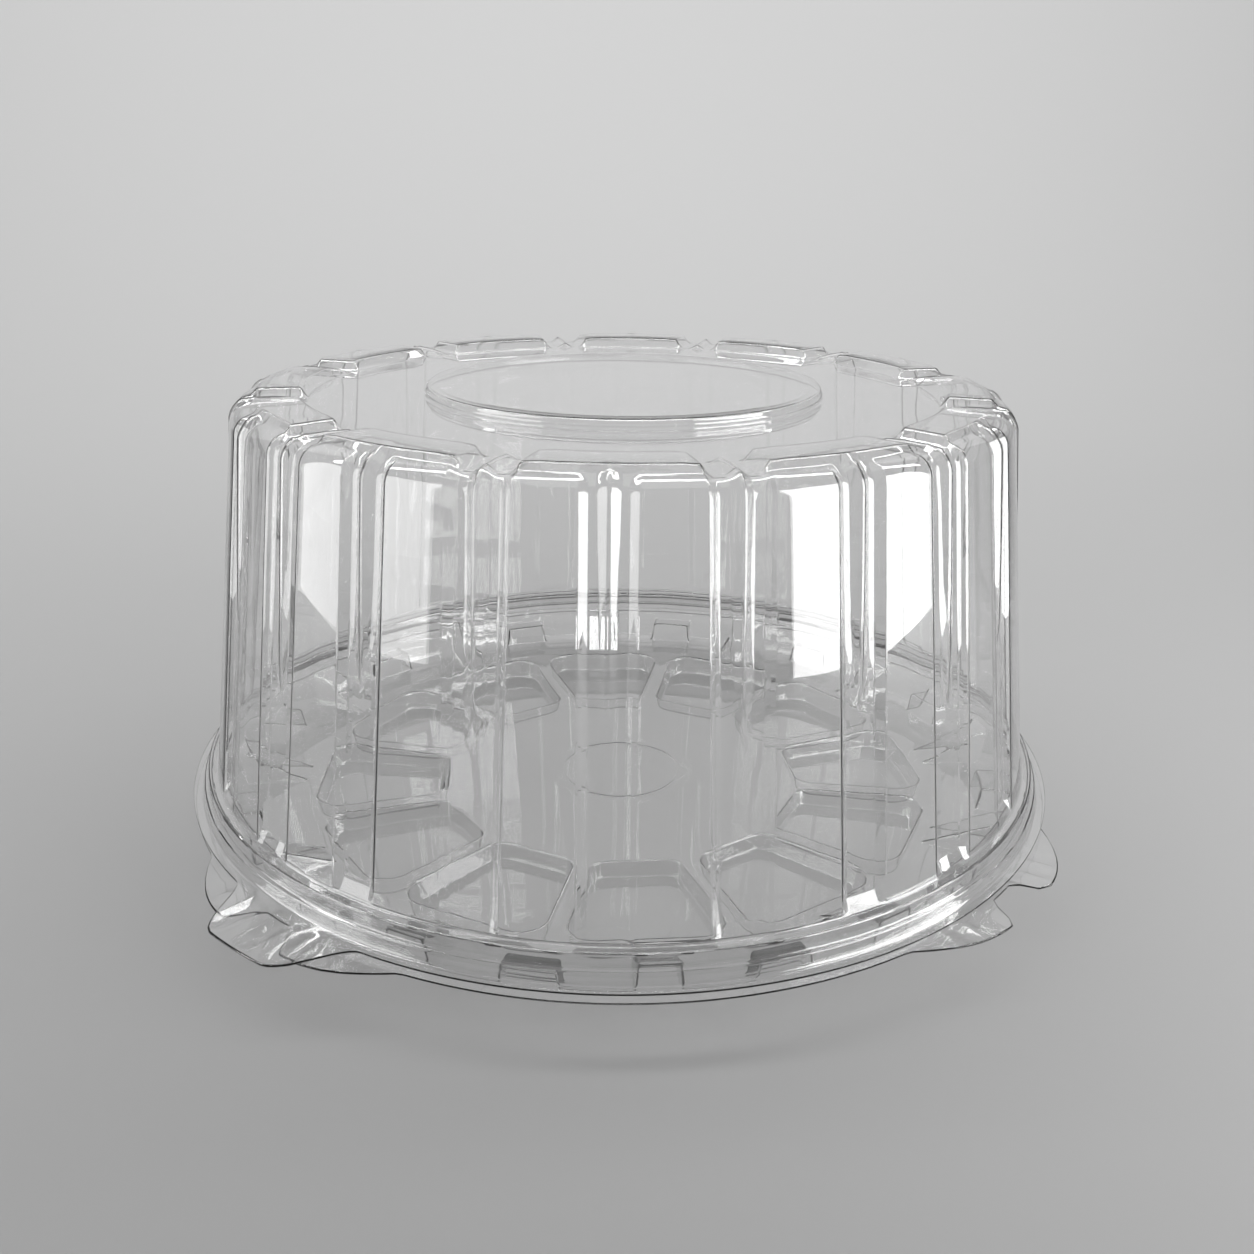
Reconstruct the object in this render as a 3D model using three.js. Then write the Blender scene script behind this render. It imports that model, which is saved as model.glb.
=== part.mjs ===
// Clear plastic cake container: a round tray and the tall dome that closes over its rim.
// Both are thermoformed from one flat sheet each, so each is a single thin wall that is folded everywhere.
// Millimetres, +Z up. The origin is on the table, under the centre of the tray.

import * as THREE from 'three';

// Sheet and fit
const SHEET = 0.5;                  // wall of both formed sheets
const FIT_SIDE = 0.35;              // play between the tray's rim and the dome's skirt
const FIT_SEAT = 0.3;               // gap over the tray's rim when the dome is closed
const CLEARANCE_UNDER_FLANGE = 2.7; // gap between the dome's flange and the tray's

// Sectors: the tray and the dome repeat their forms twelve times
const SECTORS = 12;
const PLAIN_PER_SECTOR = 6;         // steps of a plain circle across one sector
const DOME_TURN = -6.2;             // degrees that the dome is turned on the tray

// Dome, from the top down
const TOTAL_HEIGHT = 150;           // table to the top of the disc and of the lip
const DISC_RADIUS = 64.9;           // raised disc in the middle of the top
const DISC_EDGE_ROUND = 0.9;
const DISC_BEAD = 0.5;              // how far the bead on the disc's side stands out
const STEP_HEIGHT = 3.6;            // disc and lip above the top plane
const LIP_WIDTH = 13.5;             // raised lip, along the edge of the top
const LIP_SLOPE = 2;                // slanted faces of the lip, measured flat
const GAP_MOUTH_HALF = 6.6;         // half of the gap between the feet of two lips
const SHOULDER_RADIUS = 6.2;        // round shoulder from the lip to the wall
const SHOULDER_RISE = 1.1;          // highest line of the shoulder over the top plane
const WALL_FOOT_RADIUS = 141.3;
const WALL_DRAFT = 7.4;             // degrees off plumb, so that domes nest
const GAP_HALF = 8.5;               // recess below each gap in the lip
const FLUTE_HALF = 7.4;             // recess below the middle of each lip
const RECESS_DEPTH = 2;
const RECESS_SIDE = 2.3;            // width of a recess's slanted side
const RECESS_FOOT = 4.2;            // height of the slanted facet that ends a recess
const RIB_HALF = 3.1;               // half width of the pointed ribs in the recesses
const RIB_POINT_HALF = 0.8;
const RIB_RISE = 2.3;
const RIB_START_RISE = 1.6;         // height of a gap's rib where it starts, on the top plane
const GAP_RIB_LENGTH = 64;          // shoulder to the point of the rib
const FLUTE_RIB_LENGTH = 55;

// Rim of the dome
const LEDGE_WIDTH = 3.2;            // ledge round the foot of the wall
const SKIRT_DRAFT = 0.5;            // how far each half of the skirt widens
const SKIRT_UPPER = 4.2;            // ledge down to the step in the skirt
const SKIRT_STEP = 1.2;
const SKIRT_LOWER = 4.1;            // step down to the flange
const FLANGE_WIDTH = 2.7;           // flat flange round the foot of the skirt
const FLANGE_ABOVE_FLOOR = 13.4;    // top of the dome's flange over the middle of the tray's floor
const FOLD = 0.6;                   // slanted fold where a wall meets a flange
const DOME_TAB_REACH = 18;          // lifting tab, beyond the flange
const DOME_TAB_AT = -36.7;          // degrees, from the middle of a lip
const DOME_TAB_FOOT = 10.6;         // degrees, half width at the flange
const DOME_TAB_END = 3.8;           // degrees, half width at its end

// Tray
const FLOOR_HEIGHT = 5.6;           // table to the top of the middle of the floor
const LAND_HEIGHT = 7.4;            // table to the top of the floor outside the pads
const PAD_INNER = 64.6;             // twelve sunk pads, which are the feet
const PAD_OUTER = 109;
const PAD_DRAFT = 1.2;
const PAD_INNER_CORNER = 3;
const PAD_OUTER_CORNER = 8;
const SPOKE_HALF = 3.2;             // floor left standing between two pads
const LAND_MARGIN = 3;              // flat floor from the pads to where the gussets start
const CROWN_WIDTH = 5.2;            // crown of the rim, which the dome closes over
const CROWN_ROUND = 0.5;
const TRAY_WALL_LEAN = 2.95;        // how far the rim's inner wall leans out
const TRAY_WALL_DRAFT = 1.1;        // how far the crown's outer wall widens
const TRAY_FLANGE_INSET = 0.5;      // tray flange is this much smaller than the dome's
const LUG_HALF = 8;                 // lug on the inside of the rim, at each spoke
const LUG_DEPTH = 6.5;
const LUG_HEIGHT = 7.6;
const LUG_DRAFT = 0.8;
const GUSSET_HALF = 6;              // slanted gusset on the inside of the rim, at each pad
const GUSSET_HEIGHT = 11.6;
const PLAIN_COLUMN = 12;            // from the middle of a gusset to the plain wall beside it
const GRIP_REACH = 10.2;            // pair of finger grips on the tray's flange
const GRIP_NOTCH = 2;               // degrees from the middle of the pair to a grip
const GRIP_STEEP = 3;               // degrees over which its short side runs out
const GRIP_PEAK = 5.5;
const GRIP_END = 17.3;
const GRIP_PAIRS = 4;

// Steps of the curved outlines
const TAB_STEPS = 14;
const GRIP_LONG_STEPS = 4;
const GRIP_SHORT_STEPS = 3;
const CORNER_STEPS = 3;
const NEAREST_STEP = 0.002;         // radians, two points of an outline are further apart than this

// Sizes that follow from those above
const SECTOR = 2 * Math.PI / SECTORS;
const TOP_PLANE = TOTAL_HEIGHT - STEP_HEIGHT;
const WALL_TOP = TOP_PLANE + SHOULDER_RISE - SHOULDER_RADIUS;
const DOME_FLANGE_TOP = FLOOR_HEIGHT + FLANGE_ABOVE_FLOOR;
const SKIRT_STEP_TOP = DOME_FLANGE_TOP + SKIRT_LOWER;
const LEDGE_TOP = SKIRT_STEP_TOP + SKIRT_UPPER;
const WALL_SLOPE = Math.tan(THREE.MathUtils.degToRad(WALL_DRAFT));
const LEDGE_RADIUS = WALL_FOOT_RADIUS + LEDGE_WIDTH;
const SKIRT_LOWER_RADIUS = LEDGE_RADIUS + SKIRT_DRAFT + SKIRT_STEP;
const FLANGE_ROOT = SKIRT_LOWER_RADIUS + SKIRT_DRAFT + FOLD;
const FLANGE_RADIUS = FLANGE_ROOT + FLANGE_WIDTH;
const CROWN_TOP = LEDGE_TOP - SHEET - FIT_SEAT;
const CROWN_OUTER = LEDGE_RADIUS - SHEET - FIT_SIDE;
const CROWN_INNER = CROWN_OUTER - CROWN_WIDTH;
const TRAY_WALL_FOOT = CROWN_INNER - TRAY_WALL_LEAN;
const LAND_RADIUS = PAD_OUTER + LAND_MARGIN;
const TRAY_FLANGE_TOP = DOME_FLANGE_TOP - SHEET - CLEARANCE_UNDER_FLANGE;

const radians = THREE.MathUtils.degToRad;
const wallRadius = (z) => WALL_FOOT_RADIUS - (z - LEDGE_TOP) * WALL_SLOPE;
const polar = (radius, angle, z) => new THREE.Vector3(radius * Math.sin(angle), -radius * Math.cos(angle), z);

// A surface made of triangles that face up or out. A ring is a closed row of its points, by rising angle.
class Surface {
  constructor() {
    this.points = [];
    this.level = new Set();
    this.triangles = [];
  }

  add(point, level = false) {
    this.points.push(point);
    if (level) this.level.add(this.points.length - 1);
    return this.points.length - 1;
  }

  ring(points) {
    return points.map(({ radius, angle, z }) => ({ index: this.add(polar(radius, angle, z)), angle }));
  }

  circle(radius, z, level = false) {
    const steps = SECTORS * PLAIN_PER_SECTOR;
    return Array.from({ length: steps }, (_, i) => {
      const angle = (i / steps) * 2 * Math.PI - SECTOR / 2;
      return { index: this.add(polar(radius, angle, z), level), angle };
    });
  }

  fan(centre, ring) {
    ring.forEach(({ index }, i) => this.triangles.push([centre, index, ring[(i + 1) % ring.length].index]));
  }

  // Joins two rings point by point if they have as many points, and otherwise by their angles.
  band(inner, outer) {
    const paired = inner.length === outer.length;
    const at = (ring, i) => ring[i % ring.length];
    const angle = (ring, i) => at(ring, i).angle + (i >= ring.length ? 2 * Math.PI : 0);
    let i = 0;
    let j = 0;
    while (i < inner.length || j < outer.length) {
      const a = at(inner, i).index;
      const b = at(outer, j).index;
      const outerNext = paired ? j <= i : angle(outer, j + 1) <= angle(inner, i + 1);
      if (i === inner.length || (j < outer.length && outerNext)) {
        this.triangles.push([a, b, at(outer, j + 1).index]);
        j += 1;
      } else {
        this.triangles.push([a, b, at(inner, i + 1).index]);
        i += 1;
      }
    }
  }

  bands(...rings) {
    rings.slice(1).forEach((ring, i) => this.band(rings[i], ring));
  }

  // How far each point moves to reach the other side of the sheet.
  offsets(thickness) {
    const faces = this.points.map(() => []);
    for (const triangle of this.triangles) {
      const [a, b, c] = triangle.map((i) => this.points[i]);
      const normal = b.clone().sub(a).cross(c.clone().sub(a)).normalize();
      triangle.forEach((corner, k) => {
        const next = this.points[triangle[(k + 1) % 3]].clone().sub(this.points[corner]);
        const last = this.points[triangle[(k + 2) % 3]].clone().sub(this.points[corner]);
        faces[corner].push({ normal, weight: next.angleTo(last) });
      });
    }
    return faces.map((around, i) => {
      const mean = new THREE.Vector3();
      around.forEach(({ normal, weight }) => mean.addScaledVector(normal, weight));
      mean.normalize();
      const total = around.reduce((sum, { weight }) => sum + weight, 0);
      const lean = around.reduce((sum, { normal, weight }) => sum + weight * normal.dot(mean), 0) / total;
      return mean.multiplyScalar(thickness / (this.level.has(i) ? mean.z : lean));
    });
  }

  // The closed body of a sheet whose upper side is this surface and whose edge is the given ring.
  thicken(thickness, edge) {
    const count = this.points.length;
    const under = this.points.map((p, i) => p.clone());
    this.offsets(thickness).forEach((move, i) => under[i].sub(move));
    const triangles = [
      ...this.triangles,
      ...this.triangles.map(([a, b, c]) => [a + count, c + count, b + count]),
    ];
    edge.forEach(({ index }, i) => {
      const next = edge[(i + 1) % edge.length].index;
      triangles.push([index, index + count, next + count], [index, next + count, next]);
    });
    const geometry = new THREE.BufferGeometry();
    geometry.setFromPoints([...this.points, ...under]);
    geometry.setIndex(triangles.flat());
    geometry.computeVertexNormals();
    return geometry;
  }
}

// Outline of a flange: a circle whose radius grows by reach(angle) where a tab or a grip stands out.
function flangeOutline(surface, radius, z, reach, tabSpans) {
  const steps = SECTORS * PLAIN_PER_SECTOR;
  const angles = Array.from({ length: steps }, (_, i) => (i / steps) * 2 * Math.PI - SECTOR / 2);
  const first = angles[0];
  for (const { from, to, count } of tabSpans) {
    for (let i = 0; i <= count; i += 1) {
      const angle = from + (to - from) * (i / count);
      angles.push(THREE.MathUtils.euclideanModulo(angle - first, 2 * Math.PI) + first);
    }
  }
  const apart = (angle, i, all) => i === 0 || angle - all[i - 1] > NEAREST_STEP;
  const sorted = angles.sort((a, b) => a - b).filter(apart);
  return surface.ring(sorted.map((angle) => ({ radius: radius + reach(angle), angle, z })));
}

// Columns across one sector of the dome, from the middle of a gap to the next.
// A half sector is: gap rib, its foot, gap floor, gap edge, lip end, flute edge, flute floor, rib foot, flute rib.
const GAP_COLUMNS = [
  { at: () => 0, kind: 'crest' },
  { at: ({ rib }) => rib, kind: 'floor' },
  { at: ({ mouth }) => mouth - RECESS_SIDE, kind: 'floor' },
  { at: ({ mouth }) => mouth, kind: 'edge' },
  { at: ({ mouth }) => mouth + LIP_SLOPE, kind: 'lip' },
];
const FLUTE_COLUMNS = [
  { at: () => FLUTE_HALF, kind: 'lip' },
  { at: () => FLUTE_HALF - RECESS_SIDE, kind: 'flute' },
  { at: ({ rib }) => rib, kind: 'flute' },
  { at: () => 0, kind: 'spine' },
];

// One ring of the dome's wall. The station gives a place for each kind of column.
function sectorRing(surface, station) {
  const half = [
    ...GAP_COLUMNS.map(({ at, kind }) => ({ angle: -SECTOR / 2 + at(station) / station.edge.radius, kind })),
    ...FLUTE_COLUMNS.map(({ at, kind }) => ({ angle: -at(station) / station.edge.radius, kind })),
  ];
  const mirrored = half.slice(1, -1).reverse().map(({ angle, kind }) => ({ angle: -angle, kind }));
  const sector = [...half, ...mirrored];
  const columns = [];
  for (let i = 0; i < SECTORS; i += 1) {
    for (const { angle, kind } of sector) {
      columns.push({ ...station[kind], angle: angle + i * SECTOR });
    }
  }
  return surface.ring(columns);
}

// A station on the wall or the shoulder: the panel's place, its slant, and how deep its recesses are.
function wallStation({ radius, z, slant, depth, fluteDepth, rise, fluteRise, rib, gapDrop = 0, fluteDrop = 0 }) {
  const inward = (by, drop) => ({
    radius: radius - by * Math.cos(slant) + drop * WALL_SLOPE,
    z: z - by * Math.sin(slant) - drop,
  });
  const panel = { radius, z };
  return {
    rib,
    mouth: GAP_HALF,
    edge: panel,
    lip: panel,
    floor: inward(depth, gapDrop),
    crest: inward(depth - rise, gapDrop),
    flute: inward(fluteDepth, fluteDrop),
    spine: inward(fluteDepth - fluteRise, fluteDrop),
  };
}

// A station on the top, where the lip stands up between the gaps.
function topStation({ radius, lipHeight, ribHeight, spineOut = 0 }) {
  const plane = { radius, z: TOP_PLANE };
  const lip = { radius, z: TOP_PLANE + lipHeight };
  const spine = { radius: radius + spineOut, z: lip.z };
  const crest = { radius, z: TOP_PLANE + ribHeight };
  return { rib: RIB_HALF, mouth: GAP_MOUTH_HALF, edge: plane, floor: plane, crest, lip, flute: lip, spine };
}

function domeGeometry() {
  const surface = new Surface();

  const centre = surface.add(polar(0, 0, TOTAL_HEIGHT), true);
  const discTop = surface.circle(DISC_RADIUS - DISC_EDGE_ROUND, TOTAL_HEIGHT, true);
  const discEdge = surface.circle(DISC_RADIUS, TOTAL_HEIGHT - DISC_EDGE_ROUND);
  const discBead = surface.circle(DISC_RADIUS + DISC_BEAD, TOP_PLANE + STEP_HEIGHT / 2);
  const discFoot = surface.circle(DISC_RADIUS, TOP_PLANE);

  const wallTopRadius = wallRadius(WALL_TOP);
  const lipOuterRadius = wallTopRadius - SHOULDER_RADIUS - LIP_SLOPE;
  const lipInnerRadius = lipOuterRadius - LIP_WIDTH;
  const lipFoot = topStation({ radius: lipInnerRadius - LIP_SLOPE, lipHeight: 0, ribHeight: 0 });
  const lipInner = topStation({ radius: lipInnerRadius, lipHeight: STEP_HEIGHT, ribHeight: RIB_START_RISE });
  const lipOuter = topStation({
    radius: lipOuterRadius, lipHeight: STEP_HEIGHT, ribHeight: RIB_RISE, spineOut: LIP_SLOPE / 2,
  });
  const shoulderTop = WALL_TOP + SHOULDER_RADIUS;
  const below = (share) => ({
    radius: wallTopRadius - SHOULDER_RADIUS * (1 - Math.cos(share)),
    z: WALL_TOP + SHOULDER_RADIUS * Math.sin(share),
    slant: share,
  });
  const lipSlopeFoot = wallStation({
    ...below(Math.PI / 2), z: shoulderTop - FOLD / 2,
    depth: FOLD, fluteDepth: FOLD, rise: RIB_RISE, fluteRise: RIB_RISE, rib: RIB_HALF,
  });
  const shoulder = wallStation({
    ...below(Math.PI / 4),
    depth: RECESS_DEPTH, fluteDepth: RECESS_DEPTH, rise: RIB_RISE, fluteRise: RIB_RISE, rib: RIB_HALF,
  });
  const wallSlant = radians(WALL_DRAFT);
  const wallTop = wallStation({
    radius: wallTopRadius, z: WALL_TOP, slant: wallSlant,
    depth: RECESS_DEPTH, fluteDepth: RECESS_DEPTH, rise: RIB_RISE, fluteRise: RIB_RISE, rib: RIB_HALF,
  });
  const ribEnd = WALL_TOP - (GAP_RIB_LENGTH + FLUTE_RIB_LENGTH) / 2;
  const wallMiddle = wallStation({
    radius: wallRadius(ribEnd), z: ribEnd, slant: wallSlant,
    depth: RECESS_DEPTH, fluteDepth: RECESS_DEPTH, rise: 0, fluteRise: 0, rib: RIB_POINT_HALF,
    gapDrop: GAP_RIB_LENGTH - (WALL_TOP - ribEnd), fluteDrop: FLUTE_RIB_LENGTH - (WALL_TOP - ribEnd),
  });
  const recessFoot = LEDGE_TOP + RECESS_FOOT;
  const wallLow = wallStation({
    radius: wallRadius(recessFoot), z: recessFoot, slant: wallSlant,
    depth: RECESS_DEPTH, fluteDepth: RECESS_DEPTH, rise: 0, fluteRise: 0, rib: RIB_HALF,
  });
  const wallFoot = wallStation({
    radius: WALL_FOOT_RADIUS, z: LEDGE_TOP, slant: wallSlant,
    depth: 0, fluteDepth: 0, rise: 0, fluteRise: 0, rib: RIB_HALF,
  });
  const stations = [
    lipFoot, lipInner, lipOuter, lipSlopeFoot, shoulder, wallTop, wallMiddle, wallLow, wallFoot,
  ];

  surface.fan(centre, discTop);
  const ledge = surface.circle(LEDGE_RADIUS, LEDGE_TOP);
  const skirtStep = surface.circle(LEDGE_RADIUS + SKIRT_DRAFT, SKIRT_STEP_TOP);
  const skirtBelow = surface.circle(SKIRT_LOWER_RADIUS, SKIRT_STEP_TOP - FOLD);
  const skirtFoot = surface.circle(SKIRT_LOWER_RADIUS + SKIRT_DRAFT, DOME_FLANGE_TOP + FOLD);
  const flangeRoot = surface.circle(FLANGE_ROOT, DOME_FLANGE_TOP);

  const tabMiddle = radians(DOME_TAB_AT);
  const tabFoot = radians(DOME_TAB_FOOT);
  const tabReach = (angle) => {
    const turned = THREE.MathUtils.euclideanModulo(angle - tabMiddle + Math.PI, 2 * Math.PI) - Math.PI;
    const share = THREE.MathUtils.smoothstep(tabFoot - Math.abs(turned), 0, tabFoot - radians(DOME_TAB_END));
    return DOME_TAB_REACH * share;
  };
  const tabSpan = { from: tabMiddle - tabFoot, to: tabMiddle + tabFoot, count: TAB_STEPS };
  const edge = flangeOutline(surface, FLANGE_RADIUS, DOME_FLANGE_TOP, tabReach, [tabSpan]);

  surface.bands(
    discTop, discEdge, discBead, discFoot,
    ...stations.map((station) => sectorRing(surface, station)),
    ledge, skirtStep, skirtBelow, skirtFoot, flangeRoot, edge,
  );
  return surface.thicken(SHEET, edge);
}

// Outline of a sunk pad around the middle of its sector: a trapezoid with round corners, by rising angle.
function padOutline(inset) {
  const lean = Math.tan(SECTOR / 2);
  const side = (SPOKE_HALF + inset) / Math.cos(SECTOR / 2);
  const inner = PAD_INNER + inset;
  const outer = PAD_OUTER - inset;
  const corner = (along, sign) => new THREE.Vector2(sign * (along * lean - side), -along);
  const corners = [
    { point: corner(inner, -1), round: PAD_INNER_CORNER },
    { point: corner(outer, -1), round: PAD_OUTER_CORNER },
    { point: corner(outer, 1), round: PAD_OUTER_CORNER },
    { point: corner(inner, 1), round: PAD_INNER_CORNER },
  ];
  const outline = new THREE.Path();
  corners.forEach(({ point, round }, i) => {
    const last = corners[(i + 3) % 4].point;
    const next = corners[(i + 1) % 4].point;
    const from = last.clone().sub(point).setLength(round).add(point);
    const to = next.clone().sub(point).setLength(round).add(point);
    if (i === 0) outline.moveTo(from.x, from.y);
    else outline.lineTo(from.x, from.y);
    outline.quadraticCurveTo(point.x, point.y, to.x, to.y);
  });
  return outline.getPoints(CORNER_STEPS);
}

// Columns across one sector of the tray's rim: half a lug, bare wall, half a gusset, and the same mirrored.
const RIM_COLUMNS = [
  { from: 'spoke', by: 0, kind: 'lug' },
  { from: 'spoke', by: LUG_HALF, kind: 'lug' },
  { from: 'spoke', by: LUG_HALF + LUG_DRAFT, kind: 'wall' },
  { from: 'pad', by: PLAIN_COLUMN, kind: 'wall' },
  { from: 'pad', by: GUSSET_HALF + LUG_DRAFT, kind: 'wall' },
  { from: 'pad', by: GUSSET_HALF, kind: 'gusset' },
  { from: 'pad', by: 0, kind: 'gusset' },
];

// One ring of the tray's rim. The station gives a place for each kind of column.
function rimRing(surface, station) {
  const radius = station.wall.radius;
  const half = RIM_COLUMNS.map(({ from, by, kind }) => ({
    angle: from === 'spoke' ? -SECTOR / 2 + by / TRAY_WALL_FOOT : -by / TRAY_WALL_FOOT,
    kind,
  }));
  const mirrored = half.slice(1, -1).reverse().map(({ angle, kind }) => ({ angle: -angle, kind }));
  const columns = [];
  for (let i = 0; i < SECTORS; i += 1) {
    for (const { angle, kind } of [...half, ...mirrored]) {
      columns.push({ ...{ radius, z: station.wall.z }, ...station[kind], angle: angle + i * SECTOR });
    }
  }
  return surface.ring(columns);
}

// The floor of the tray inside the given ring, with a sunk pad in each sector.
function addFloor(surface, land) {
  const flat = (index) => new THREE.Vector2(surface.points[index].x, surface.points[index].y);
  const turn = (point, sector) => point.clone().rotateAround(new THREE.Vector2(), sector * SECTOR);
  const floorAt = (point) => THREE.MathUtils.clamp(
    THREE.MathUtils.mapLinear(point.length(), PAD_INNER, PAD_OUTER, FLOOR_HEIGHT, LAND_HEIGHT),
    FLOOR_HEIGHT, LAND_HEIGHT,
  );
  const rims = [];
  for (let sector = 0; sector < SECTORS; sector += 1) {
    const lift = (outline, height, level) => outline.map((point) => {
      const turned = turn(point, sector);
      return surface.add(new THREE.Vector3(turned.x, turned.y, height(turned)), level);
    });
    const rim = lift(padOutline(0), floorAt, false);
    const foot = lift(padOutline(PAD_DRAFT), () => SHEET, true);
    rim.forEach((index, i) => {
      const k = (i + 1) % rim.length;
      surface.triangles.push([foot[i], index, rim[k]], [foot[i], rim[k], foot[k]]);
    });
    const cap = THREE.ShapeUtils.triangulateShape(foot.map(flat), []);
    cap.forEach((triangle) => surface.triangles.push(triangle.map((i) => foot[i])));
    rims.push(rim);
  }
  const outer = land.map(({ index }) => index);
  const all = [...outer, ...rims.flat()];
  const web = THREE.ShapeUtils.triangulateShape(outer.map(flat), rims.map((rim) => rim.map(flat)));
  web.forEach((triangle) => surface.triangles.push(triangle.map((i) => all[i])));
}

function trayGeometry() {
  const surface = new Surface();
  const floor = (radius) => ({ radius, z: LAND_HEIGHT });
  const lugFace = TRAY_WALL_FOOT - LUG_DEPTH;
  const lugTop = LAND_HEIGHT + LUG_HEIGHT;
  const gussetTop = LAND_HEIGHT + GUSSET_HEIGHT;
  const gussetAt = (radius) => ({
    radius, z: THREE.MathUtils.mapLinear(radius, LAND_RADIUS, TRAY_WALL_FOOT, LAND_HEIGHT, gussetTop),
  });
  const wallAt = (z) => ({
    radius: THREE.MathUtils.mapLinear(z, LAND_HEIGHT, CROWN_TOP - CROWN_ROUND, TRAY_WALL_FOOT, CROWN_INNER), z,
  });
  const land = rimRing(surface, { wall: floor(LAND_RADIUS) });
  const lugFoot = rimRing(surface, { wall: floor(lugFace), gusset: gussetAt(lugFace) });
  const lugEdge = rimRing(surface, {
    wall: floor(lugFace + LUG_DRAFT),
    lug: { radius: lugFace + LUG_DRAFT, z: lugTop },
    gusset: gussetAt(lugFace + LUG_DRAFT),
  });
  const wallFoot = rimRing(surface, {
    wall: floor(TRAY_WALL_FOOT), lug: wallAt(lugTop), gusset: wallAt(gussetTop),
  });
  const wallTop = rimRing(surface, { wall: wallAt(CROWN_TOP - CROWN_ROUND) });

  addFloor(surface, land);
  const crownFrom = surface.circle(CROWN_INNER + CROWN_ROUND, CROWN_TOP);
  const crownTo = surface.circle(CROWN_OUTER - CROWN_ROUND, CROWN_TOP);
  const crownEdge = surface.circle(CROWN_OUTER, CROWN_TOP - CROWN_ROUND);
  const outerFoot = CROWN_OUTER + TRAY_WALL_DRAFT;
  const skirtFoot = surface.circle(outerFoot, TRAY_FLANGE_TOP + FOLD);
  const flangeRoot = surface.circle(outerFoot + FOLD, TRAY_FLANGE_TOP);

  const pairs = Array.from({ length: GRIP_PAIRS }, (_, i) => ((i + 0.5) / GRIP_PAIRS) * 2 * Math.PI);
  const gripReach = (angle) => {
    const away = pairs.map((middle) => {
      const turned = THREE.MathUtils.euclideanModulo(angle - middle + Math.PI, 2 * Math.PI) - Math.PI;
      return THREE.MathUtils.radToDeg(Math.abs(turned));
    });
    const from = Math.min(...away);
    const steep = THREE.MathUtils.smoothstep(from, GRIP_NOTCH, GRIP_NOTCH + GRIP_STEEP);
    const fall = THREE.MathUtils.clamp((from - GRIP_PEAK) / (GRIP_END - GRIP_PEAK), 0, 1);
    return GRIP_REACH * steep * Math.cos(fall * Math.PI / 2);
  };
  const spans = pairs.flatMap((middle) => [
    { from: middle - radians(GRIP_END), to: middle - radians(GRIP_PEAK), count: GRIP_LONG_STEPS },
    { from: middle - radians(GRIP_PEAK), to: middle - radians(GRIP_NOTCH), count: GRIP_SHORT_STEPS },
    { from: middle + radians(GRIP_NOTCH), to: middle + radians(GRIP_PEAK), count: GRIP_SHORT_STEPS },
    { from: middle + radians(GRIP_PEAK), to: middle + radians(GRIP_END), count: GRIP_LONG_STEPS },
  ]);
  const edge = flangeOutline(surface, FLANGE_RADIUS - TRAY_FLANGE_INSET, TRAY_FLANGE_TOP, gripReach, spans);

  surface.bands(
    land, lugFoot, lugEdge, wallFoot, wallTop, crownFrom, crownTo, crownEdge, skirtFoot, flangeRoot, edge,
  );
  return surface.thicken(SHEET, edge);
}

// Clear sheet: pale and glossy
const clearSheet = () => new THREE.MeshStandardMaterial({
  color: 0xe9edee, roughness: 0.08, metalness: 0, transparent: true, opacity: 0.35,
});

const tray = new THREE.Mesh(trayGeometry(), clearSheet());
tray.name = 'tray_base';

const dome = new THREE.Mesh(domeGeometry(), clearSheet());
dome.name = 'dome_lid';
dome.rotation.z = radians(DOME_TURN);

const container = new THREE.Group();
container.add(tray, dome);
export default container;
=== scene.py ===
import math

import bmesh
import bpy
import numpy as np
from mathutils import Matrix, Vector
from mathutils.geometry import tessellate_polygon


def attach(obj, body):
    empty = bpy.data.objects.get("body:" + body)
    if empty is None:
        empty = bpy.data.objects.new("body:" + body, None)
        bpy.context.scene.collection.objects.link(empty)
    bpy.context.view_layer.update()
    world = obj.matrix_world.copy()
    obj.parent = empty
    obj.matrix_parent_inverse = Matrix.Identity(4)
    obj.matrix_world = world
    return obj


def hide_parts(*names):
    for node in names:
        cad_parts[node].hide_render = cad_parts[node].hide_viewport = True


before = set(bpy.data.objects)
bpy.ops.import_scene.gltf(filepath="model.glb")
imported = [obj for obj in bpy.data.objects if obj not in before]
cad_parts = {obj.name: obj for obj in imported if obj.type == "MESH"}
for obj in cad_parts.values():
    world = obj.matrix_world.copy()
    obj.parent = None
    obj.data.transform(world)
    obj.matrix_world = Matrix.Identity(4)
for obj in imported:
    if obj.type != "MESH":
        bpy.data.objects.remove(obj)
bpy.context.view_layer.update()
scene = bpy.context.scene
scene.view_settings.view_transform = "Standard"


# The camera of the photograph, from a fit of the container's rings to the picture.
# It stands in front of the tray and 218 mm above the table, and looks down at the dome by 21 degrees.
camera_data = bpy.data.cameras.new("camera")
camera_data.lens = 35.035
camera_data.sensor_width = 36
camera = bpy.data.objects.new("camera", camera_data)
camera.matrix_world = (
    Matrix.Translation((-0.0334, -0.4067, 0.2184))
    @ Matrix.Rotation(math.radians(-4.959), 4, "Z")
    @ Matrix.Rotation(math.radians(69.07), 4, "X")
    @ Matrix.Rotation(math.radians(0.649), 4, "Z")
)
scene.collection.objects.link(camera)
scene.camera = camera


# Clear PET sheet, 0.5 mm thick and drawn over a mould, makes the tray and the dome. It is glossy, bends
# light, and has slow waves of about 20 mm from the mould. Light on its way to the floor passes straight on
# with a small loss, so that the container throws the faint shadow of a clear box.
def linear(hex_colour):
    channels = [int(hex_colour[i:i + 2], 16) / 255 for i in (1, 3, 5)]
    return [*(c / 12.92 if c <= 0.04045 else ((c + 0.055) / 1.055) ** 2.4 for c in channels), 1.0]


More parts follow.
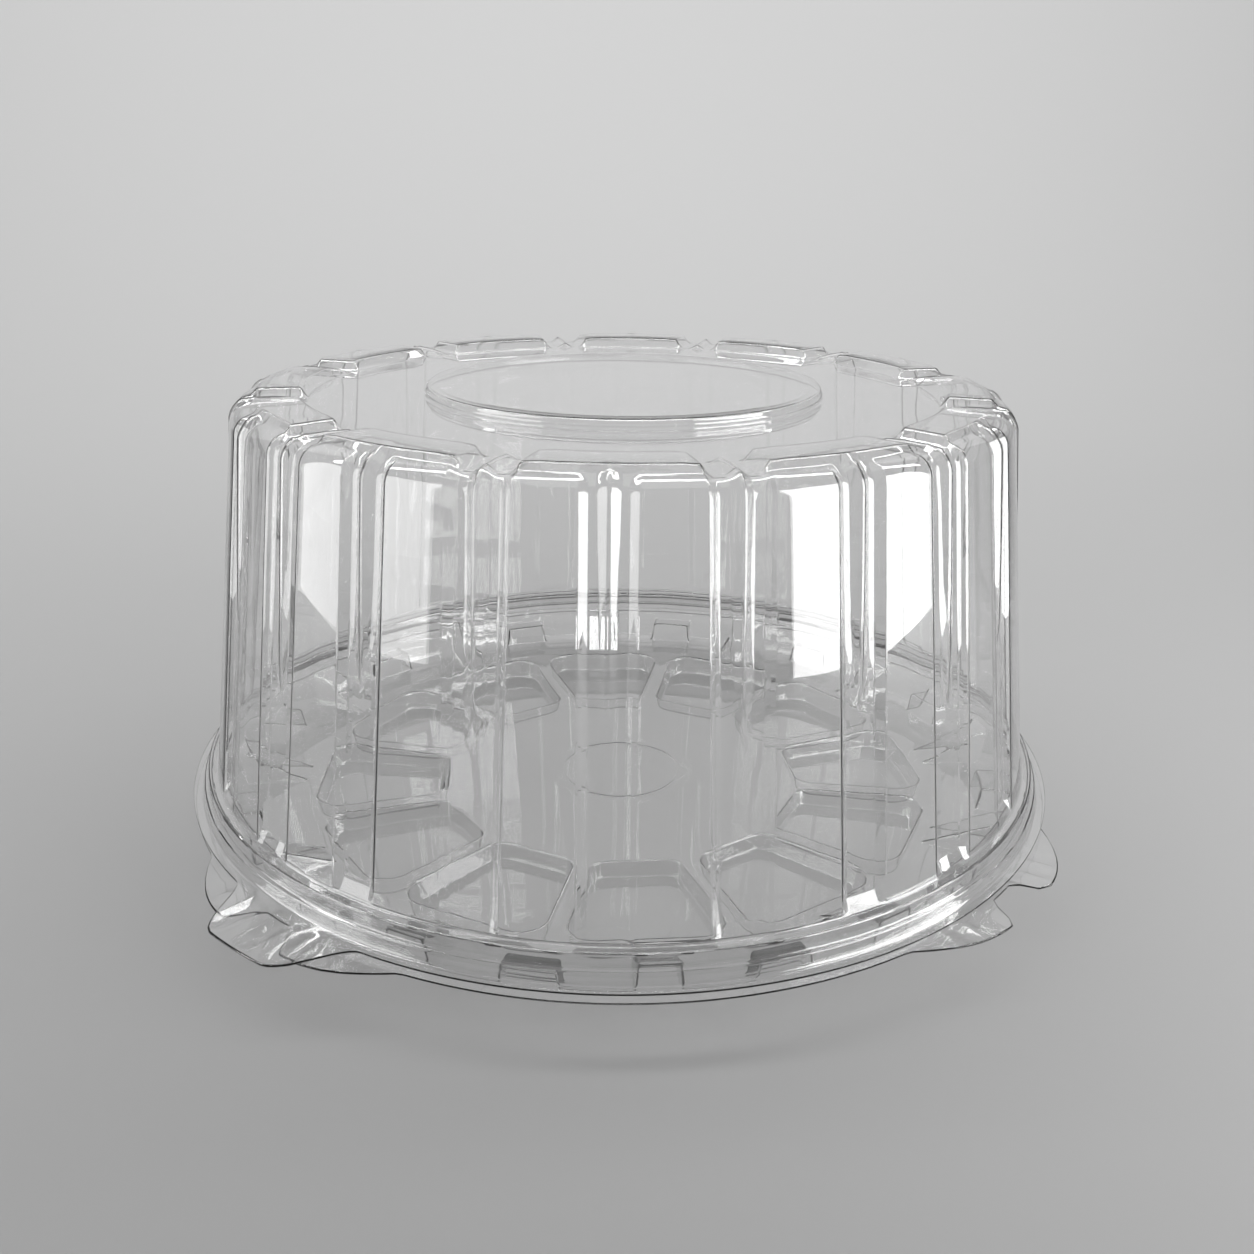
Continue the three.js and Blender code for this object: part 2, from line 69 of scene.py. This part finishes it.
def add(tree, kind, inputs=None, **settings):
    node = tree.nodes.new(kind)
    for name, value in settings.items():
        setattr(node, name, value)
    for name, value in (inputs or {}).items():
        if isinstance(value, bpy.types.NodeSocket):
            tree.links.new(value, node.inputs[name])
        else:
            node.inputs[name].default_value = value
    return node


def clear_pet(name, wave_mm, wave_depth_mm):
    material = bpy.data.materials.new(name)
    material.use_nodes = True
    tree = material.node_tree
    tree.nodes.clear()
    place = add(tree, "ShaderNodeTexCoord").outputs["Object"]
    waves = add(tree, "ShaderNodeTexNoise", {"Vector": place, "Scale": 1000 / wave_mm, "Detail": 0.0})
    bump = add(tree, "ShaderNodeBump", {
        "Height": waves.outputs["Fac"], "Distance": wave_depth_mm / 1000, "Strength": 1.0,
    })
    sheet = add(tree, "ShaderNodeBsdfPrincipled", {
        "Base Color": linear("#fdfdfd"), "Roughness": 0.0, "IOR": 1.57, "Transmission Weight": 1.0,
        "Normal": bump.outputs["Normal"],
    })
    passing = add(tree, "ShaderNodeBsdfTransparent", {"Color": linear("#f6f6f6")})
    path = add(tree, "ShaderNodeLightPath")
    light = add(tree, "ShaderNodeMath", {
        0: path.outputs["Is Shadow Ray"], 1: path.outputs["Is Diffuse Ray"],
    }, operation="MAXIMUM")
    mix = add(tree, "ShaderNodeMixShader", {
        0: light.outputs[0], 1: sheet.outputs["BSDF"], 2: passing.outputs["BSDF"],
    })
    add(tree, "ShaderNodeOutputMaterial", {"Surface": mix.outputs["Shader"]})
    return material


pet_dome = clear_pet("clear PET sheet, thermoformed, dome", 22, 0.02)
pet_tray = clear_pet("clear PET sheet, thermoformed, tray", 16, 0.015)


# One sector of 30 degrees is made once and set twelve times round the axis by Geometry Nodes.
# The nodes join the sectors into one skin at the points that they share.
sectors = 12
sector_angle = math.radians(360 / sectors)
half_sector = sector_angle / 2


def polar(radius, angle, z):
    return (radius * math.sin(angle) / 1000, -radius * math.cos(angle) / 1000, z / 1000)


def ramp(t, rounding=0.28):
    t = np.asarray(t, dtype=float)
    low = (t + rounding) ** 2 / (4 * rounding)
    high = 1 - (1 + rounding - t) ** 2 / (4 * rounding)
    inside = np.where(t < rounding, low, np.where(t < 1 - rounding, t, high))
    return np.where(t < -rounding, 0.0, np.where(t < 1 + rounding, inside, 1.0))


def share_of(t):
    return min(1, max(0, t))


def smooth(t):
    return t * t * (3 - 2 * t)


def grid_faces(rows, columns, closed=False):
    quads = []
    for row in range(0, (rows - 1) * columns, columns):
        for here in range(columns if closed else columns - 1):
            beside = (here + 1) % columns
            quads.append((row + here, row + columns + here, row + columns + beside, row + beside))
    return quads


def mesh_of(name, points, faces):
    mesh = bpy.data.meshes.new(name)
    mesh.from_pydata(points, [], faces)
    mesh.update()
    return mesh


def linked(name, mesh):
    piece = bpy.data.objects.new(name, mesh)
    scene.collection.objects.link(piece)
    return piece


def ring_of_sectors():
    tree = bpy.data.node_groups.new("ring of sectors", "GeometryNodeTree")
    face = tree.interface
    face.new_socket("Geometry", in_out="INPUT", socket_type="NodeSocketGeometry")
    face.new_socket("Sectors", in_out="INPUT", socket_type="NodeSocketInt")
    face.new_socket("Sector angle", in_out="INPUT", socket_type="NodeSocketFloat")
    face.new_socket("Join within", in_out="INPUT", socket_type="NodeSocketFloat")
    face.new_socket("Sheet", in_out="INPUT", socket_type="NodeSocketMaterial")
    face.new_socket("Geometry", in_out="OUTPUT", socket_type="NodeSocketGeometry")
    given = add(tree, "NodeGroupInput").outputs
    points = add(tree, "GeometryNodePoints", {"Count": given["Sectors"]})
    number = add(tree, "GeometryNodeInputIndex")
    turn = add(tree, "ShaderNodeMath", {
        0: number.outputs[0], 1: given["Sector angle"],
    }, operation="MULTIPLY")
    about = add(tree, "ShaderNodeCombineXYZ", {"Z": turn.outputs[0]})
    copies = add(tree, "GeometryNodeInstanceOnPoints", {
        "Points": points.outputs[0], "Instance": given["Geometry"], "Rotation": about.outputs[0],
    })
    real = add(tree, "GeometryNodeRealizeInstances", {"Geometry": copies.outputs[0]})
    joined = add(tree, "GeometryNodeMergeByDistance", {
        "Geometry": real.outputs[0], "Distance": given["Join within"],
    })
    clad = add(tree, "GeometryNodeSetMaterial", {"Geometry": joined.outputs[0], "Material": given["Sheet"]})
    add(tree, "NodeGroupOutput", {"Geometry": clad.outputs[0]})
    return tree


def set_input(modifier, name, value):
    for item in modifier.node_group.interface.items_tree:
        if item.item_type == "SOCKET" and item.in_out == "INPUT" and item.name == name:
            modifier[item.identifier] = value


def converted(piece, name):
    graph = bpy.context.evaluated_depsgraph_get()
    graph.update()
    mesh = bpy.data.meshes.new_from_object(piece.evaluated_get(graph))
    mesh.name = name
    piece.modifiers.clear()
    piece.data = mesh
    return mesh


# The ring of sectors and the flange round it become one skin. The Solidify modifier makes it as thick as
# the sheet, downwards and inwards, because the skin is the upper and outer side of the sheet.
sheet_thickness = 0.5
same_point = 0.00001
sector_tree = ring_of_sectors()


def formed_sheet(name, points, faces, flange, material):
    piece = linked(name, mesh_of(name + "_sector", points, faces))
    ring = piece.modifiers.new("ring", "NODES")
    ring.node_group = sector_tree
    set_input(ring, "Sectors", sectors)
    set_input(ring, "Sector angle", sector_angle)
    set_input(ring, "Join within", same_point)
    set_input(ring, "Sheet", material)
    mesh = converted(piece, name + "_ring")
    skin = bmesh.new()
    skin.from_mesh(mesh)
    corners = [skin.verts.new(point) for point in flange[0]]
    for face in flange[1]:
        skin.faces.new([corners[i] for i in face])
    bmesh.ops.remove_doubles(skin, verts=skin.verts, dist=same_point)
    for face in skin.faces:
        face.smooth = True
        face.material_index = 0
    skin.to_mesh(mesh)
    skin.free()
    mesh.materials.clear()
    mesh.materials.append(material)
    solid = piece.modifiers.new("sheet", "SOLIDIFY")
    solid.thickness = sheet_thickness / 1000
    solid.offset = -1
    solid.use_even_offset = True
    normals = piece.modifiers.new("flat panels", "WEIGHTED_NORMAL")
    normals.mode = "FACE_AREA"
    normals.weight = 80
    converted(piece, name)
    return piece


# A flange is a strip from the last ring of the sectors to its cut edge, with the tab or the grips in its
# outline. Its columns become evenly spaced on the way out. Low pressed ridges give the fingers a hold.
def ridge_across(turned, half_pitch):
    return float(ramp((math.cos(turned / half_pitch * np.pi) + 0.1) / 0.7))


def flange_strip(root_angles, root_radius, z, reach, ridges):
    shares = [0, 0.12, 0.3, 0.45, 0.6, 0.75, 0.88, 0.96, 1]
    even_from = 0.3
    count = len(root_angles)
    even = root_angles[0] + np.arange(count) * 2 * np.pi / count
    points = []
    for share in shares:
        blend = min(1, share / even_from)
        for i in range(count):
            angle = root_angles[i] * (1 - blend) + even[i] * blend
            radius = root_radius + reach(angle) * share
            points.append(polar(radius, angle, z + ridges(angle, radius) * (share > 0)))
    return points, grid_faces(len(shares), count, closed=True)


# The dome is one formed sheet, made as rings from the middle of its top to the foot of its skirt. Each
# sector has a gap in the raised lip at its border with a recess below it, and a second recess below the
# middle of the lip. A pointed rib stands in each recess and runs out half way down the wall.
disc_top = 150
disc_radius = 64.9
disc_fold = 0.9
top_plane = 146.4
lip_height = 3.6
lip_end = 6.6
lip_side = 2.4
shoulder_radius = 120.29
shoulder_z = 141.3
shoulder_fold = 6.2
wall_foot_radius = 141.3
wall_foot_z = 27.3
draft = math.radians(7.4)
recess_depth = 2
recess_side = 2.3
gap_half_width = 8.5
flute_half_width = 7.4
rib_height = 2.3
rib_half_width = 3.1
rib_point = 0.12
gap_rib_end = 77.3
flute_rib_end = 86.3
dome_flange_radius = 147.5
dome_flange_z = 19
dome_turn = math.radians(-6.2)

# The columns across a recess are set in millimetres. Inside this radius they keep their angles instead.
column_radius = 104
gap_columns = np.array([0, 0.8, 1.9, 2.8, 3.4, 5.6, 6.3, 7.3, 8.3, 8.9])
flute_columns = np.array([0, 0.8, 1.9, 2.8, 3.4, 4.6, 5.2, 6.3, 7.2, 7.8])


def dome_angles(radius):
    gap = -half_sector + gap_columns / max(radius, column_radius)
    flute = -flute_columns[::-1] / max(radius, column_radius)
    plain = gap[-1] + (flute[0] - gap[-1]) * np.array([1, 2]) / 3
    half = np.concatenate([gap, plain, flute])
    return np.concatenate([half, -half[-2::-1]])


def rib_of(height, half_width=rib_half_width):
    return height, half_width


def dome_ring(radius, z, normal=(0, 1), lip=0, gap=0, flute=0, gap_rib=rib_of(0), flute_rib=rib_of(0)):
    angles = dome_angles(radius)
    scale = max(radius, column_radius)
    from_gap = (half_sector - np.abs(angles)) * scale
    from_flute = np.abs(angles) * scale
    depth = gap * ramp((gap_half_width - from_gap) / recess_side)
    depth += flute * ramp((flute_half_width - from_flute) / recess_side)
    for (height, half_width), away in ((gap_rib, from_gap), (flute_rib, from_flute)):
        depth -= height * ramp(1 - away / half_width, rib_point)
    lips = lip_height * lip * ramp((from_gap - lip_end) / lip_side)
    return [
        polar(radius - depth[i] * normal[0], angles[i], z - depth[i] * normal[1] + lips[i])
        for i in range(len(angles))
    ]


# The raised disc, with a pressed ring near its edge and a bead on its side.
rings = [dome_ring(r, disc_top) for r in (22, 45, 60.4)]
rings += [dome_ring(r, z) for r, z in ((60.8, disc_top - 0.14), (61.2, disc_top), (63.4, disc_top))]
for a in (0, 22, 45, 67, 90):
    slant = math.radians(a)
    rings.append(dome_ring(
        disc_radius - disc_fold * (1 - math.sin(slant)), disc_top - disc_fold * (1 - math.cos(slant)),
    ))
rings += [dome_ring(r, z) for r, z in (
    (65.2, 148.6), (65.4, 148.2), (65.35, 147.7), (65.05, 147.1), (65.1, 146.7), (65.4, 146.45),
    (65.9, top_plane),
)]

# The flat top, and the lips that stand on its edge with a small rib in each gap.
rings += [dome_ring(r, top_plane) for r in (80, 95)]
for r in (102.3, 102.8, 103.3, 104.3, 104.8, 105.3):
    start = float(ramp((r - 102.8) / 2))
    rings.append(dome_ring(r, top_plane, lip=start, gap_rib=rib_of(1.6 * start)))
rings += [dome_ring(r, top_plane, lip=1, gap_rib=rib_of(2.1)) for r in (112, 117.7)]
for r in (118.2, 118.6, 119.6, 120.2):
    fall = float(ramp((r - 118.3) / 2))
    rings.append(dome_ring(
        r, top_plane, normal=(0.5 * fall, 1 - 0.3 * fall), lip=1 - 0.69 * fall, flute=0.5 * fall,
        gap_rib=rib_of(rib_height), flute_rib=rib_of(0.2 + 1.9 * fall, 3.3),
    ))

# The shoulder, and the wall with its draft, where the ribs run out and the recesses end above the foot.
for a, gap, flute in ((76, 1.3, 1.0), (60, 1.6, 1.5), (44, 1.9, 1.9), (28, 2, 2), (12, 2, 2)):
    normal = (math.cos(math.radians(a)), math.sin(math.radians(a)))
    rings.append(dome_ring(
        shoulder_radius + shoulder_fold * normal[0], shoulder_z + shoulder_fold * normal[1], normal,
        gap=gap, flute=flute, gap_rib=rib_of(rib_height), flute_rib=rib_of(rib_height),
    ))


def fading_rib(z, end, length):
    share = share_of((z - end) / length)
    return rib_of(rib_height * share ** 0.5, 0.3 + 2.8 * share ** 0.35)


for z in (
    141, 134, 120, 106, 96, 90.5, 88, 86.6, 84, 81, 79, 77.6, 75.5, 54, 32.6, 31.8, 31.2, 28.6, 27.8,
):
    depth = recess_depth * float(ramp((z - wall_foot_z) / 4.2, 0.1))
    rings.append(dome_ring(
        wall_foot_radius - (z - wall_foot_z) * math.tan(draft), z, (math.cos(draft), math.sin(draft)),
        gap=depth, flute=depth,
        gap_rib=fading_rib(z, gap_rib_end, 64), flute_rib=fading_rib(z, flute_rib_end, 55),
    ))

# The ledge that lies on the tray's crown, and the skirt with its step, down to the flange.
rings += [dome_ring(r, z) for r, z in (
    (141.45, 27.42), (141.9, wall_foot_z), (143.8, wall_foot_z), (144.25, 27.2), (144.47, 26.9),
    (144.55, 26.4), (144.95, 23.6), (145.05, 23.25), (145.35, 23.03), (145.9, 22.85), (146.18, 22.6),
    (146.25, 22.2), (146.66, 19.9), (146.78, 19.45), (147.05, 19.1), (dome_flange_radius, dome_flange_z),
)]
columns = len(rings[0])
points = [point for ring in rings for point in ring] + [polar(0, 0, disc_top)]
faces = grid_faces(len(rings), columns)
faces += [(len(points) - 1, i, i + 1) for i in range(columns - 1)]


def round_the_rim(sector_columns):
    return np.concatenate([sector_columns[:-1] + sector_angle * k for k in range(sectors)])


# The lifting tab in the flange, 18 mm long, with three pressed ridges. Angles are in degrees.
dome_flange_width = 2.5
tab_middle = -36.7
tab_half_width = 10.6
tab_side = 6.8
tab_length = 18
tab_ridge_depth = 1.1
tab_ridge_half_pitch = 2.4


def from_tab(angle):
    return (math.degrees(angle) - tab_middle + 180) % 360 - 180


def tab_reach(angle):
    share = share_of((tab_half_width - abs(from_tab(angle))) / tab_side)
    return dome_flange_width + tab_length * smooth(share)


def tab_ridges(angle, radius):
    turned = from_tab(angle)
    ridge = ridge_across(turned, tab_ridge_half_pitch) if abs(turned) < 6 else 0
    along = float(ramp((radius - 148.6) / 2) * (1 - ramp((radius - 163) / 2.5)))
    return -tab_ridge_depth * ridge * along


dome_flange = flange_strip(
    round_the_rim(dome_angles(dome_flange_radius)), dome_flange_radius, dome_flange_z, tab_reach, tab_ridges,
)
dome = formed_sheet("dome", points, faces, dome_flange, pet_dome)
dome.data.transform(Matrix.Rotation(dome_turn, 4, "Z"))
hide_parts("dome_lid")
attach(dome, "dome")


# The tray is the second formed sheet. Each sector of its floor is a wedge with one sunk pad, which is a
# foot: a trapezoid with round corners. Two thin pressed rings run round the middle, and the floor rises a
# little beside the pads, to the flat land where a cake board rests.
floor_height = 5.6
land_height = 7.4
middle_radius = 56
land_radius = 114
pad_inner = 64.6
pad_outer = 109
pad_rounding = [6, 8.5, 8.5, 6]
half_spoke = 3.2
web_foot = 64.2
web_length = 45.2
strip_inner = 63
strip_outer = 109.95
rim_foot_radius = 135.5


def rounded(corners, roundings, steps):
    outline = []
    for i, (corner, rounding) in enumerate(zip(corners, roundings)):
        last = (corners[i - 1] - corner).normalized()
        following = (corners[(i + 1) % len(corners)] - corner).normalized()
        half = last.angle(following) / 2
        centre = corner + (last + following).normalized() * (rounding / math.sin(half))
        start = corner + last * (rounding / math.tan(half)) - centre
        end = corner + following * (rounding / math.tan(half)) - centre
        for k in range(steps + 1):
            outline.append(centre + start.slerp(end, k / steps).normalized() * rounding)
    return outline


def pad_outline(inset):
    lean = math.tan(half_sector)
    side = (half_spoke + inset) / math.cos(half_sector)
    inner = pad_inner + inset
    outer = pad_outer - inset
    corners = [
        Vector((sign * (along * lean - side), -along))
        for along, sign in ((inner, -1), (outer, -1), (outer, 1), (inner, 1))
    ]
    return rounded(corners, [rounding - 0.4 * inset for rounding in pad_rounding], 9)


def web_height(along):
    return floor_height + (land_height - floor_height) * share_of((along - web_foot) / web_length)


spoke_columns = np.array([0, 4.5, 7.3, 8, 8.4, 8.8, 9.5])
pad_columns = np.array([0, 3.5, 5.3, 6, 6.4, 6.8, 7.6, 13])


def tray_angles():
    spoke = -half_sector + spoke_columns / rim_foot_radius
    pad = -pad_columns[::-1] / rim_foot_radius
    half = np.concatenate([spoke, [(spoke[-1] + pad[0]) / 2], pad])
    return np.concatenate([half, -half[-2::-1]])


angles = tray_angles()
middle = [
    [polar(r, a, floor_height + rise) for a in angles]
    for r, rise in (
        (8, 0), (20.7, 0), (21.2, 0.12), (21.6, 0.25), (22, 0.12), (22.5, 0), (26.5, 0), (27, 0.1), (27.5, 0),
        (middle_radius, 0),
    )
]
points = [point for ring in middle for point in ring] + [polar(0, 0, floor_height)]
faces = grid_faces(len(middle), len(angles))
faces += [(len(points) - 1, i, i + 1) for i in range(len(angles) - 1)]


def add_polygon(outer, holes=()):
    loops = [[Vector(point) for point in loop] for loop in (outer, *holes)]
    first = len(points)
    points.extend(tuple(point) for loop in loops for point in loop)
    for triangle in tessellate_polygon(loops):
        a, b, c = (Vector(points[first + i]) for i in triangle)
        turned = (b - a).cross(c - a).z < 0
        faces.append(tuple(first + i for i in (reversed(triangle) if turned else triangle)))


def chord(along):
    reach = along * math.tan(half_sector)
    return [
        (sign * reach / 1000, -along / 1000, web_height(along) / 1000) for sign in (-1, 1)
    ]


# The pad's side, as steps inwards in millimetres and the share of the fall to the pad's flat bottom.
pad_side = [
    (-0.8, 0), (-0.52, 0.009), (-0.28, 0.037), (-0.1, 0.078), (0, 0.13),
    (0.69, 0.9), (0.76, 0.941), (0.9, 0.972), (1.08, 0.993), (1.28, 1),
]
pad_rings = []
for inset, fall in pad_side:
    pad_rings.append([
        (p.x / 1000, p.y / 1000, (web_height(-p.y) * (1 - fall) + sheet_thickness * fall) / 1000)
        for p in pad_outline(inset)
    ])
add_polygon([polar(middle_radius, a, floor_height) for a in angles] + chord(strip_inner)[::-1])
add_polygon(chord(strip_inner) + chord(strip_outer)[::-1], [pad_rings[0]])
add_polygon(chord(strip_outer) + [polar(land_radius, a, land_height) for a in angles][::-1])
first = len(points)
points += [point for ring in pad_rings for point in ring]
for face in grid_faces(len(pad_rings), len(pad_rings[0]), closed=True):
    faces.append(tuple(first + i for i in reversed(face)))
add_polygon(pad_rings[-1])


# The tray's rim rises from the land: a leaning inner wall, a flat crown that the dome closes over, and a
# flange. Each sector has half a lug at each border, at the spokes, and a slanted gusset in its middle, at
# the pad.
lug_half_width = 8
gusset_half_width = 6
lug_side = 0.8
rim_lean = 2.95 / 18.6
gusset_foot = 114.3
gusset_slope = 11.6 / 21.2
tray_flange_radius = 145.6
tray_flange_z = 15.8


def rim_ring(wall, lug=None, gusset=None):
    from_spoke = (half_sector - np.abs(angles)) * rim_foot_radius
    from_pad = np.abs(angles) * rim_foot_radius
    at_lug = 1 - ramp((from_spoke - lug_half_width) / lug_side)
    at_gusset = 1 - ramp((from_pad - gusset_half_width) / lug_side)
    wall = np.array(wall)
    lug = wall if lug is None else np.array(lug)
    gusset = wall if gusset is None else np.array(gusset)
    ring = []
    for i, angle in enumerate(angles):
        radius, z = wall + at_lug[i] * (lug - wall) + at_gusset[i] * (gusset - wall)
        ring.append(polar(radius, angle, z))
    return ring


def lean(z):
    return rim_foot_radius + rim_lean * (z - land_height), z


def gusset_at(radius):
    return radius, land_height + gusset_slope * (radius - gusset_foot)


# On the land the gussets slant up, and then the lugs stand up beside them.
rim = [rim_ring((land_radius, land_height))]
rim += [rim_ring((r, land_height), gusset=gusset_at(r)) for r in (114.6, 122, 128.4)]
for r, *lug in (
    (128.8, 128.85, 7.55), (129.1, 129.05, 8.1), (129.5, 129.6, 14.2), (129.9, 129.85, 14.8),
    (130.4, 130.4, 15), (134.7, 136.1, 15),
):
    rim.append(rim_ring((r, land_height), lug, gusset_at(r)))

# The wall, the crown, and the outer wall down to the flange.
rim += [
    rim_ring((135.25, 7.5), (136.5, 15.15), (135.6, 18.6)),
    rim_ring((rim_foot_radius, 7.95), lean(15.8), lean(19.3)),
    rim_ring(lean(10), lean(17), lean(20.5)),
    rim_ring(lean(22.5)),
]
rim += [rim_ring(place) for place in (
    (138.38, 25.7), (138.48, 26.15), (138.75, 26.43), (139.2, 26.5), (143, 26.5), (143.4, 26.43),
    (143.62, 26.2), (143.68, 25.8), (144.62, 16.7), (144.75, 16.25), (145.05, 15.9),
    (tray_flange_radius, tray_flange_z),
)]
first = len(points)
points += [point for ring in rim for point in ring]
faces += [tuple(first + i for i in face) for face in grid_faces(len(rim), len(angles))]


# The finger grips in the flange come in four pairs, each a lobe with pressed ridges on either side of a
# notch. Angles are in degrees, from the middle of the notch.
tray_flange_width = 3.9
grip_length = 10.2
grip_peak = 5.5
grip_ridge_depth = 0.8
grip_ridge_middle = 6.9
grip_ridge_half_pitch = 1.45


def from_notch(angle):
    return abs(math.degrees(angle) % 90 - 45)


def grip_reach(angle):
    away = from_notch(angle)
    rise = smooth(share_of((away - 2) / 3))
    fall = share_of((away - grip_peak) / 11.8)
    return tray_flange_width + grip_length * rise * math.cos(fall * math.pi / 2)


def grip_ridges(angle, radius):
    away = from_notch(angle)
    ridge = ridge_across(away - grip_ridge_middle, grip_ridge_half_pitch) if 4 < away < 12.7 else 0
    end = 150.2 + 7.2 * math.cos(math.radians(7 * (away - grip_peak)))
    along = float(ramp((radius - 147.2) / 1.6) * (1 - ramp((radius - end) / 1.6)))
    return -grip_ridge_depth * ridge * along


tray_flange = flange_strip(
    round_the_rim(angles), tray_flange_radius, tray_flange_z, grip_reach, grip_ridges,
)
tray = formed_sheet("tray", points, faces, tray_flange, pet_tray)
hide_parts("tray_base")
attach(tray, "tray")


# The floor of the studio is a seamless sheet of matt grey paper, 2.6 m wide, that curves up behind the
# container. It is a strip of flat steps, shaded smooth, and fills the photograph's view and what shows
# through the clear walls.
paper_front = -1.0
paper_top = 1.5
paper_half_width = 1.3
bend_start = 0.45
bend_radius = 0.6
sweep = [(paper_front, 0.0), (bend_start, 0.0)]
for turned in range(6, 91, 6):
    a = math.radians(turned)
    sweep.append((bend_start + bend_radius * math.sin(a), bend_radius - bend_radius * math.cos(a)))
sweep.append((bend_start + bend_radius, paper_top))
paper_points = [(x, y, z) for y, z in sweep for x in (-paper_half_width, paper_half_width)]
paper_faces = [(2 * i, 2 * i + 1, 2 * i + 3, 2 * i + 2) for i in range(len(sweep) - 1)]
paper = linked("paper", mesh_of("paper", paper_points, paper_faces))
for face in paper.data.polygons:
    face.use_smooth = True
paper_material = bpy.data.materials.new("grey background paper, matt")
paper_material.use_nodes = True
matt = paper_material.node_tree.nodes["Principled BSDF"].inputs
matt["Base Color"].default_value = linear("#959595")
matt["Roughness"].default_value = 0.9
paper.data.materials.append(paper_material)


# Two square soft boxes reach down to the paper, left and right of the container, and show in its wall. A
# soft lamp overhead lights the folds, and a long lamp lights the paper behind. The camera doesn't see the
# lamps straight, but it sees them in and through the plastic.
def studio_lamp(name, place, aim, width, height, power):
    data = bpy.data.lights.new(name, "AREA")
    data.shape = "RECTANGLE"
    data.size = width
    data.size_y = height
    data.energy = power
    lamp = bpy.data.objects.new(name, data)
    direction = Vector(aim) - Vector(place)
    lamp.matrix_world = Matrix.Translation(place) @ direction.to_track_quat("-Z", "Y").to_matrix().to_4x4()
    scene.collection.objects.link(lamp)


studio_lamp("left_soft_box", (-0.6, -0.2, 0.24), (0, 0, 0.2), 0.5, 0.5, 2.1)
studio_lamp("right_soft_box", (0.52, -0.34, 0.24), (0, 0, 0.2), 0.5, 0.5, 5.2)
studio_lamp("overhead_lamp", (0, -0.1, 1.5), (0, 0, 0), 1.0, 1.0, 1.5)
studio_lamp("background_lamp", (0, 0.4, 1.3), (0, 1.05, 0.65), 3.0, 0.4, 49)


# The room gives the scene little light of its own, so that the lamps make the shadows.
# It shows as plain grey behind the paper, and in and through the plastic as well.
world = bpy.data.worlds.new("studio")
world.use_nodes = True
tree = world.node_tree
tree.nodes.clear()
path = add(tree, "ShaderNodeLightPath").outputs
mirrored = add(tree, "ShaderNodeMath", {
    0: path["Is Camera Ray"], 1: path["Is Glossy Ray"],
}, operation="MAXIMUM")
seen = add(tree, "ShaderNodeMath", {
    0: mirrored.outputs[0], 1: path["Is Transmission Ray"],
}, operation="MAXIMUM")
dim = add(tree, "ShaderNodeBackground", {"Color": linear("#bcbcbc"), "Strength": 0.06})
grey = add(tree, "ShaderNodeBackground", {"Color": linear("#9a9a9a"), "Strength": 1.0})
room = add(tree, "ShaderNodeMixShader", {
    0: seen.outputs[0], 1: dim.outputs["Background"], 2: grey.outputs["Background"],
})
add(tree, "ShaderNodeOutputWorld", {"Surface": room.outputs["Shader"]})
scene.world = world


# A ray may cross ten faces of sheet, which is enough for both walls of the dome and the tray behind them.
# Light that the plastic bends onto the paper is left out, because it stays grainy.
scene.cycles.max_bounces = 10
scene.cycles.diffuse_bounces = 2
scene.cycles.glossy_bounces = 4
scene.cycles.transmission_bounces = 10
scene.cycles.transparent_max_bounces = 16
scene.cycles.caustics_reflective = False
scene.cycles.caustics_refractive = False
